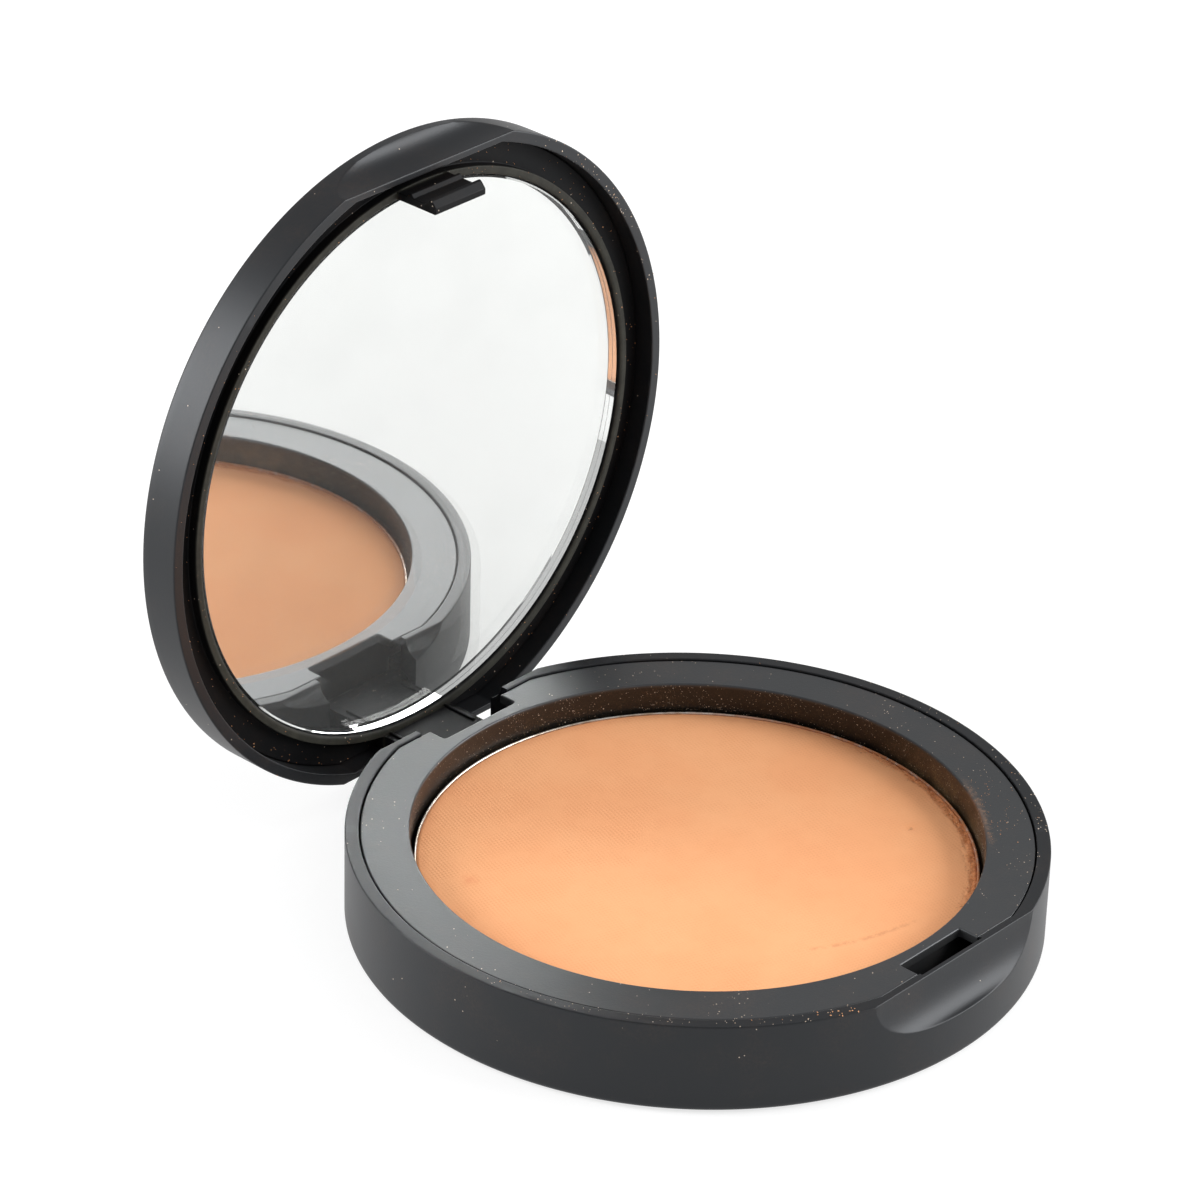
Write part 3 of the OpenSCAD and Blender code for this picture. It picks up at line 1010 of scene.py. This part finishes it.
def pressed_powder_material():
    """Warm peach powder with the press cloth's imprint and faint mottling."""
    material, tree, shader, vector = new_material("Pressed powder")
    slow = ramp(tree, noise_value(tree, vector, 11, 3, 0.55), 0.35, 0.68)
    fine = ramp(tree, noise_value(tree, vector, 0.28, 4, 0.65), 0.3, 0.7)
    colour = blend(tree, slow, srgb(243, 175, 124), srgb(241, 169, 118))
    colour = blend(tree, times(tree, fine, 0.25), colour, srgb(234, 163, 112))
    weave = use_group(tree, WEAVE, {"Vector": turned_by(tree, vector, 18)})
    colour = blend(tree, times(tree, weave["Height"], 0.24), colour, srgb(216, 142, 94))
    tight = ramp(tree, rim_mask(tree, vector), 0.35, 0.85)
    broken = times(tree, tight, side_mask(tree, vector, -32, 20, 29))
    crumbly = ramp(tree, noise_value(tree, vector, 0.45, 5, 0.7), 0.42, 0.62)
    colour = blend(tree, times(tree, broken, 0.75), colour, srgb(214, 134, 80))
    colour = blend(tree, times(tree, broken, crumbly), colour, srgb(168, 92, 48))
    colour = blend(tree, times(tree, rim_mask(tree, vector), 0.35), colour, srgb(214, 140, 92))
    smear = spot_mask(tree, vector, (*SMEAR, cake_high.z), 2.2)
    colour = blend(tree, times(tree, smear, 0.5), colour, srgb(226, 138, 92))
    colour = blend(tree, times(tree, scuff_mask(tree, vector), 0.42), colour, srgb(196, 122, 78))
    chip = spot_mask(tree, vector, (*CHIP, cake_high.z), 0.55)
    colour = blend(tree, times(tree, chip, 0.85), colour, srgb(120, 66, 38))
    flecks = node(tree, "ShaderNodeTexVoronoi", {"Vector": vector, "Scale": 620.0, "Randomness": 1.0})
    dark = ramp(tree, flecks.outputs["Distance"], 0.02, 0.06, 1.0, 0.0)
    rare = node(tree, "ShaderNodeSeparateColor", {"Color": flecks.outputs["Color"]}).outputs[1]
    dark = times(tree, dark, math_node(tree, "GREATER_THAN", rare, 0.985))
    colour = blend(tree, dark, colour, srgb(150, 92, 58))
    tree.links.new(colour, shader.inputs["Base Color"])
    shader.inputs["Roughness"].default_value = 0.86
    shader.inputs["Specular IOR Level"].default_value = 0.18
    shader.inputs["Sheen Weight"].default_value = 0.08
    shader.inputs["Sheen Roughness"].default_value = 0.5
    grit = noise_value(tree, vector, 0.12, 3, 0.7)
    threads = times(tree, weave["Height"], 0.55)
    height = math_node(tree, "ADD", threads, times(tree, grit, 0.6))
    link_bump(tree, shader, height, 0.035)
    return material


def scuff_mask(tree, vector):
    """Thin curved mark where the powder has been rubbed."""
    centre = (SCUFF_CENTRE[0] * MM, SCUFF_CENTRE[1] * MM, 0.0)
    out = node(tree, "ShaderNodeVectorMath", {0: vector, 1: centre}, operation="SUBTRACT").outputs[0]
    away = math_node(tree, "SUBTRACT", radius_from_axis(tree, out), SCUFF_R * MM)
    line = ramp(tree, math_node(tree, "ABSOLUTE", away), 0.0, 0.55 * MM, 1.0, 0.0)
    stretch = side_mask(tree, out, math.degrees(SCUFF_SIDE), 0.955 * SCUFF_R, 0.99 * SCUFF_R)
    broken = ramp(tree, noise_value(tree, vector, 0.9, 4, 0.7), 0.40, 0.62)
    return times(tree, times(tree, line, stretch), broken)


def radius_from_axis(tree, vector):
    """Distance from the Z axis."""
    level = (1.0, 1.0, 0.0)
    flat = node(tree, "ShaderNodeVectorMath", {0: vector, 1: level}, operation="MULTIPLY").outputs[0]
    return node(tree, "ShaderNodeVectorMath", {0: flat}, operation="LENGTH").outputs["Value"]


def rim_mask(tree, vector):
    """1 at the powder's edge, fading inwards."""
    wavy = times(tree, noise_value(tree, vector, 2.5, 4, 0.6), 1.6 * MM)
    reach = math_node(tree, "ADD", radius_from_axis(tree, vector), wavy)
    return ramp(tree, reach, (cake_r - 0.9) * MM, (cake_r + 0.7) * MM)


def turned_by(tree, vector, degrees):
    """The same coordinates, turned about Z."""
    turn = (0, 0, math.radians(degrees))
    return node(tree, "ShaderNodeMapping", {"Vector": vector, "Rotation": turn}).outputs[0]


def pan_metal_material():
    material, tree, shader, vector = new_material("Pan metal")
    scratches = use_group(tree, SCRATCHES, {"Vector": vector})
    dull = ramp(tree, noise_value(tree, vector, 2.0, 4, 0.6), 0.4, 0.7)
    colour = blend(tree, dull, srgb(206, 200, 192), srgb(172, 156, 138))
    dusty = side_mask(tree, vector, SPILL_SIDE, -4, 20)
    dusty = times(tree, dusty, ramp(tree, noise_value(tree, vector, 1.2, 4, 0.7), 0.25, 0.55))
    colour = blend(tree, dusty, colour, srgb(176, 112, 70))
    tree.links.new(colour, shader.inputs["Base Color"])
    bare = math_node(tree, "SUBTRACT", 1.0, times(tree, dusty, 0.95))
    tree.links.new(bare, shader.inputs["Metallic"])
    tree.links.new(ramp(tree, scratches["Height"], 0.3, 0.7, 0.2, 0.38), shader.inputs["Roughness"])
    link_bump(tree, shader, scratches["Height"], 0.003)
    return material


def pin_steel_material():
    material, tree, shader, vector = new_material("Pin steel")
    along = node(tree, "ShaderNodeMapping", {"Vector": vector, "Rotation": (0, math.pi / 2, 0)}).outputs[0]
    scratches = use_group(tree, SCRATCHES, {"Vector": along})
    colour = blend(tree, scratches["Height"], srgb(176, 178, 182), srgb(208, 209, 210))
    tree.links.new(colour, shader.inputs["Base Color"])
    shader.inputs["Metallic"].default_value = 1.0
    tree.links.new(ramp(tree, scratches["Height"], 0.3, 0.7, 0.22, 0.36), shader.inputs["Roughness"])
    link_bump(tree, shader, scratches["Height"], 0.002)
    return material


def silvering_material():
    """Silvered back of the mirror, with the faintest cloudiness."""
    material, tree, shader, vector = new_material("Silvering")
    cloudy = ramp(tree, noise_value(tree, vector, 12, 3, 0.5), 0.4, 0.7)
    tree.links.new(blend(tree, cloudy, srgb(233, 233, 232), srgb(230, 230, 229)), shader.inputs["Base Color"])
    tree.links.new(ramp(tree, cloudy, 0.0, 1.0, 0.012, 0.02), shader.inputs["Roughness"])
    shader.inputs["Metallic"].default_value = 1.0
    return material


def glass_material():
    """Clear glass with faint marks from a cloth."""
    material, tree, shader, vector = new_material("Mirror glass")
    marks = ramp(tree, noise_value(tree, vector, 6, 5, 0.7), 0.55, 0.8)
    tree.links.new(ramp(tree, marks, 0.0, 1.0, 0.0, 0.03), shader.inputs["Roughness"])
    tree.links.new(blend(tree, marks, srgb(253, 255, 254), srgb(250, 252, 252)), shader.inputs["Base Color"])
    shader.inputs["Transmission Weight"].default_value = 0.97
    shader.inputs["IOR"].default_value = 1.52
    return material


def label_paper_material():
    """Plain pale paper with short fibres."""
    material, tree, shader, vector = new_material("Label paper")
    stretched = node(tree, "ShaderNodeMapping", {"Vector": vector, "Scale": (1, 0.25, 1)}).outputs[0]
    fibres = noise_value(tree, stretched, 0.3, 5, 0.7)
    tone = blend(tree, ramp(tree, fibres, 0.3, 0.7), srgb(214, 210, 202), srgb(228, 225, 218))
    tree.links.new(tone, shader.inputs["Base Color"])
    shader.inputs["Roughness"].default_value = 0.7
    link_bump(tree, shader, fibres, 0.012)
    return material


def glue_material():
    """Dried pale glue, also the foam tape behind the mirror."""
    material, tree, shader, vector = new_material("Dried glue")
    lumps = noise_value(tree, vector, 1.4, 4, 0.6)
    tone = blend(tree, ramp(tree, lumps, 0.35, 0.65), srgb(226, 218, 196), srgb(236, 231, 214))
    tree.links.new(tone, shader.inputs["Base Color"])
    shader.inputs["Roughness"].default_value = 0.5
    link_bump(tree, shader, lumps, 0.05)
    return material


def speck_material(name, light, dark):
    """Crumbs of powder, each patch of them a slightly different tone."""
    material, tree, shader, vector = new_material(name)
    tone = ramp(tree, noise_value(tree, vector, 0.8, 3, 0.6), 0.3, 0.7)
    tree.links.new(blend(tree, tone, light, dark), shader.inputs["Base Color"])
    shader.inputs["Roughness"].default_value = 0.9
    link_bump(tree, shader, noise_value(tree, vector, 0.05, 2, 0.6), 0.01)
    return material


# ---------------------------------------------------------------- specks of spilt powder

def speck_tree():
    """Scatters small crumbs over the surface that it is given."""
    tree = bpy.data.node_groups.new("Scatter specks", "GeometryNodeTree")
    wanted = [("Surface", "Geometry"), ("Specks per square metre", "Float"), ("Clump size", "Float"),
              ("Smallest", "Float"), ("Largest", "Float"), ("Seed", "Int"), ("Material", "Material")]
    for label, kind in wanted:
        tree.interface.new_socket(label, in_out="INPUT", socket_type="NodeSocket" + kind)
    tree.interface.new_socket("Specks", in_out="OUTPUT", socket_type="NodeSocketGeometry")
    given = tree.nodes.new("NodeGroupInput").outputs
    clump_scale = math_node(tree, "DIVIDE", 1.0, given["Clump size"])
    clumps = node(tree, "ShaderNodeTexNoise", {"Scale": clump_scale, "Detail": 3.0})
    share = node(tree, "ShaderNodeMapRange", {"Value": clumps.outputs[0], "From Min": 0.45,
                                              "From Max": 0.75, "To Min": 0.08, "To Max": 1.0})
    density = times(tree, given["Specks per square metre"], share.outputs[0])
    points = node(tree, "GeometryNodeDistributePointsOnFaces",
                  {"Mesh": given["Surface"], "Density": density, "Seed": given["Seed"]})
    crumb = node(tree, "GeometryNodeMeshIcoSphere", {"Radius": 1.0, "Subdivisions": 1})
    spin = random_vector(tree, (0, 0, 0), (6.28, 6.28, 6.28), given["Seed"])
    size = node(tree, "FunctionNodeRandomValue", data_type="FLOAT")
    tree.links.new(given["Smallest"], size.inputs[2])
    tree.links.new(given["Largest"], size.inputs[3])
    tree.links.new(given["Seed"], size.inputs["Seed"])
    squash = random_vector(tree, (0.5, 0.5, 0.3), (1.3, 1.3, 0.8), given["Seed"])
    scale = node(tree, "ShaderNodeVectorMath", {0: squash}, operation="SCALE")
    tree.links.new(size.outputs[1], scale.inputs["Scale"])
    placed = node(tree, "GeometryNodeInstanceOnPoints", {"Points": points.outputs["Points"],
                                                         "Instance": crumb.outputs["Mesh"],
                                                         "Rotation": spin, "Scale": scale.outputs[0]})
    real = node(tree, "GeometryNodeRealizeInstances", {"Geometry": placed.outputs[0]})
    painted = node(tree, "GeometryNodeSetMaterial",
                   {"Geometry": real.outputs[0], "Material": given["Material"]})
    result = tree.nodes.new("NodeGroupOutput")
    tree.links.new(painted.outputs[0], result.inputs["Specks"])
    return tree


def random_vector(tree, low, high, seed):
    made = node(tree, "FunctionNodeRandomValue", data_type="FLOAT_VECTOR")
    made.inputs[0].default_value = low
    made.inputs[1].default_value = high
    tree.links.new(seed, made.inputs["Seed"])
    return made.outputs[0]


def patch_of(piece, keep):
    """A mesh of the piece's faces whose centre and normal pass the test, in metres."""
    bm = bmesh.new()
    bm.from_mesh(piece.data)
    doomed = [f for f in bm.faces if not keep(f.calc_center_median() / MM, f.normal)]
    bmesh.ops.delete(bm, geom=doomed, context="FACES")
    mesh = bpy.data.meshes.new("patch")
    bm.to_mesh(mesh)
    bm.free()
    return mesh


def scatter(tree, name, patch, per_mm2, clump_mm, smallest_mm, largest_mm, seed, material):
    """One mesh of specks lying on a patch."""
    piece = bpy.data.objects.new(name, patch)
    bpy.context.scene.collection.objects.link(piece)
    modifier = piece.modifiers.new("Specks", "NODES")
    modifier.node_group = tree
    values = {"Specks per square metre": per_mm2 / MM ** 2, "Clump size": clump_mm * MM,
              "Smallest": smallest_mm * MM, "Largest": largest_mm * MM, "Seed": seed, "Material": material}
    for socket in tree.interface.items_tree:
        if socket.item_type == "SOCKET" and socket.in_out == "INPUT" and socket.name in values:
            modifier[socket.identifier] = values[socket.name]
    plain_mesh(piece)
    return piece


# ---------------------------------------------------------------- making the pieces

case_black = satin_black("Outer black", srgb(18, 19, 21), 0.42, 0.03, 0.04, specular=0.38)
tray_black = satin_black("Tray black", srgb(45, 46, 47), 0.36, 0.05, 0.25, specular=0.5, grain_depth=0.012,
                         edge_highlight_amount=0.0, soil_and_light=tray_soil_and_shade)
frame_black = satin_black("Frame black", srgb(11, 11, 12), 0.52, 0.02, 0.12, specular=0.12, edge_highlight_amount=0.3,
                          soil_and_light=frame_lip_highlight)
powder_peach = pressed_powder_material()
pan_metal = pan_metal_material()
pin_steel = pin_steel_material()
silvering = silvering_material()
mirror_clear = glass_material()
label_paper = label_paper_material()
dried_glue = glue_material()
powder_crumbs = speck_material("Powder crumbs", srgb(226, 170, 124), srgb(190, 132, 90))
pale_specks = speck_material("Pale specks", srgb(214, 200, 186), srgb(176, 150, 124))

base_case = make_base_shell(case_black)
well_tray = make_tray(tray_black)
metal_pan = make_pan(pan_metal)
powder = make_powder(powder_peach)
lid_case = make_lid_shell(case_black)
mirror_frame = make_lid_frame(frame_black)
glass = make_glass(mirror_clear)
silver = make_silver(silvering)
tape = make_tape(dried_glue)
glue = make_glue(dried_glue)
label = make_label(label_paper)
pin = make_pin(pin_steel)

specks = speck_tree()


def within(x, y, side, spread):
    """Whether a point lies within some degrees of a side of the case."""
    away = (math.degrees(math.atan2(y, x)) - side + 180) % 360 - 180
    return abs(away) < spread


def on_deck(centre, normal):
    return normal.z > 0.9 and centre.z > deck_z - 0.1 and math.hypot(centre.x, centre.y) > well_r + 0.3


def on_right_deck(centre, normal):
    return on_deck(centre, normal) and within(centre.x, centre.y, -30, 34)


def beside_well(centre, normal):
    near = math.hypot(centre.x, centre.y) < well_r + 2.2
    return near and on_deck(centre, normal) and within(centre.x, centre.y, SPILL_SIDE, 12)


def on_seam(centre, normal):
    far = math.hypot(centre.x, centre.y) > deck_r - 1.0
    return far and on_deck(centre, normal) and within(centre.x, centre.y, -142, 30)


def on_base_rim(centre, normal):
    return normal.z > 0.8 and centre.z > base_h - 0.1 and abs(centre.y) < scoop_y


def on_right_rim(centre, normal):
    return on_base_rim(centre, normal) and within(centre.x, centre.y, -25, 30)


def on_front_rim(centre, normal):
    return on_base_rim(centre, normal) and within(centre.x, centre.y, -142, 32)


def beside_scoop(centre, normal):
    return on_base_rim(centre, normal) and within(centre.x, centre.y, -116, 3.5)


def on_lid_rim(centre, normal):
    return normal.y < -0.8 and centre.y < lid_low.y + 0.1


def on_soiled_lid_rim(centre, normal):
    shut_y = hinge_y + hinge_z - centre.z
    return on_lid_rim(centre, normal) and within(centre.x, shut_y, -40, 26)


def in_channel(centre, normal):
    return normal.y < -0.7 and centre.y > lid_low.y + 0.9 and centre.y < lid_low.y + 2.6


def on_tongue(centre, normal):
    return normal.z > 0.6 and centre.y < lid_low.y + 1 and centre.z < 12


def on_powder_edge(centre, normal):
    radius, angle = math.hypot(centre.x, centre.y), math.atan2(centre.y, centre.x)
    return normal.z > 0.2 and radius > cake_r - 1.3 and edge_wear(angle, CRUMBLED_SIDE, 0.6) > 0.3


def on_well_wall(centre, normal):
    radius = math.hypot(centre.x, centre.y)
    return abs(radius - well_r) < 0.1 and centre.z > pan_high.z - 0.5 and normal.z < 0.5


def lay_specks(name, piece, keep, per_mm2, clump_mm, smallest_mm, largest_mm, material):
    """Scatters specks over the part of a piece that passes the test."""
    seed = 11 + len(bpy.data.objects)
    patch = patch_of(piece, keep)
    return scatter(specks, name, patch, per_mm2, clump_mm, smallest_mm, largest_mm, seed, material)


CRUSHED = 0.04                # height left of specks between the rims of the closed case


def press_flat(piece, axis, level, way):
    """Flattens specks that the rims of the closed case would crush: nothing goes beyond the level."""
    for vert in piece.data.vertices:
        if (vert.co[axis] - level * MM) * way > 0:
            vert.co[axis] = level * MM


base_specks = [
    lay_specks("deck_specks", well_tray, on_deck, 0.25, 9, 0.025, 0.06, pale_specks),
    lay_specks("right_deck_specks", well_tray, on_right_deck, 1.0, 3, 0.03, 0.09, pale_specks),
    lay_specks("spill_crumbs", well_tray, beside_well, 7.0, 1.5, 0.03, 0.07, powder_crumbs),
    lay_specks("seam_specks", well_tray, on_seam, 10.0, 2, 0.03, 0.10, pale_specks),
    lay_specks("base_rim_specks", base_case, on_base_rim, 0.25, 6, 0.02, 0.08, powder_crumbs),
    lay_specks("right_rim_specks", base_case, on_right_rim, 3.0, 3, 0.03, 0.10, pale_specks),
    lay_specks("front_rim_specks", base_case, on_front_rim, 3.0, 2, 0.03, 0.09, pale_specks),
    lay_specks("scoop_crumbs", base_case, beside_scoop, 16.0, 1.5, 0.05, 0.13, powder_crumbs),
    lay_specks("powder_edge_crumbs", powder, on_powder_edge, 8.0, 1.5, 0.05, 0.15, powder_crumbs),
    lay_specks("well_wall_specks", well_tray, on_well_wall, 14.0, 5, 0.02, 0.055, pale_specks),
]
lid_specks = [
    lay_specks("lid_rim_specks", lid_case, on_lid_rim, 0.5, 5, 0.03, 0.08, powder_crumbs),
    lay_specks("soiled_rim_specks", lid_case, on_soiled_lid_rim, 4.0, 3, 0.03, 0.13, pale_specks),
    lay_specks("channel_specks", mirror_frame, in_channel, 1.2, 3, 0.03, 0.08, powder_crumbs),
    lay_specks("tongue_specks", mirror_frame, on_tongue, 1.0, 2, 0.03, 0.08, pale_specks),
]

for piece in base_specks:
    if "rim" in piece.name or "scoop" in piece.name:
        press_flat(piece, 2, base_h + CRUSHED, 1)
for piece in lid_specks:
    if "rim" in piece.name:
        press_flat(piece, 1, lid_low.y - CRUSHED, -1)

for piece, body, slot, nodes in (
        (base_case, "base", "case_plastic", ("base_shell",)),
        (well_tray, "base", "tray_plastic", ("pan_tray",)),
        (metal_pan, "base", "pan_metal", ("powder_pan",)),
        (powder, "base", "pressed_powder", ("powder_cake",)),
        (glue, "base", "glue", ("pan_glue",)),
        (label, "base", "label_paper", ("base_label",)),
        (pin, "base", "pin_steel", ("hinge_pin",)),
        (lid_case, "lid", "case_plastic", ("lid_shell",)),
        (mirror_frame, "lid", "frame_plastic", ("lid_frame",)),
        (glass, "lid", "mirror", ("mirror_glass",)),
        (silver, "lid", "mirror", ()),
        (tape, "lid", "glue", ("mirror_tape",))):
    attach(piece, body)
    if nodes:
        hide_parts(*nodes)
for piece in base_specks:
    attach(piece, "base")
for piece in lid_specks:
    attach(piece, "lid")


# ---------------------------------------------------------------- floor, lights and camera

def make_floor():
    """Plain pale floor, lit enough to stay nearly white."""
    size = 3.0
    bpy.ops.mesh.primitive_plane_add(size=size, location=(0, 0, -0.0002))
    floor = bpy.context.object
    floor.name = "pale_floor"
    material, tree, shader, vector = new_material("Pale floor")
    shade = ramp(tree, noise_value(tree, vector, 400, 2, 0.5), 0.3, 0.7)
    tree.links.new(blend(tree, shade, srgb(160, 160, 160), srgb(156, 156, 156)), shader.inputs["Base Color"])
    shader.inputs["Roughness"].default_value = 0.9
    shader.inputs["Specular IOR Level"].default_value = 0.1
    shader.inputs["Emission Color"].default_value = (1, 1, 1, 1)
    shader.inputs["Emission Strength"].default_value = 0.72
    floor.data.materials.append(material)
    return floor


def softbox(name, place, aim, width, height, watts):
    """Rectangular soft light that looks at a point."""
    lamp = bpy.data.lights.new(name, "AREA")
    lamp.shape = "RECTANGLE"
    lamp.size = width
    lamp.size_y = height
    lamp.energy = watts
    made = bpy.data.objects.new(name, lamp)
    made.location = place
    made.rotation_euler = (Vector(aim) - Vector(place)).to_track_quat("-Z", "Y").to_euler()
    bpy.context.scene.collection.objects.link(made)
    return made


def make_world(strength):
    world = bpy.data.worlds.new("Soft room")
    world.use_nodes = True
    tree = world.node_tree
    back = tree.nodes["Background"]
    direction = node(tree, "ShaderNodeTexCoord").outputs["Generated"]
    up = node(tree, "ShaderNodeSeparateXYZ", {"Vector": direction})
    low_tone, high_tone = (0.70, 0.70, 0.70, 1), (0.78, 0.78, 0.79, 1)
    tone = blend(tree, ramp(tree, up.outputs[2], -0.1, 0.9), low_tone, high_tone)
    tree.links.new(tone, back.inputs["Color"])
    back.inputs["Strength"].default_value = strength
    bpy.context.scene.world = world


def make_camera():
    """Long lens, looking down on the compact from its front left."""
    place = Vector((-347.51, -295.66, 294.55)) * MM
    aim = Vector((-3.13, 12.10, 34.57)) * MM
    roll = math.radians(1.688)
    lens = bpy.data.cameras.new("Camera")
    lens.lens = 151.62
    lens.sensor_width = 36
    lens.clip_start = 0.01
    camera = bpy.data.objects.new("Camera", lens)
    turn = (aim - place).to_track_quat("-Z", "Y").to_matrix() @ Matrix.Rotation(roll, 3, "Z")
    camera.matrix_world = Matrix.Translation(place) @ turn.to_4x4()
    bpy.context.scene.collection.objects.link(camera)
    bpy.context.scene.camera = camera


make_floor()
middle = (0, 0.01, 0.02)
softbox("Key softbox", (0.80, -0.65, 0.42), middle, 1.0, 0.84, 18.0)
softbox("Rear left softbox", (-0.68, 0.77, 0.41), (-0.02, 0.04, 0.05), 0.42, 0.78, 11.5)
make_world(0.80)
make_camera()
bpy.context.scene.view_settings.view_transform = "Standard"
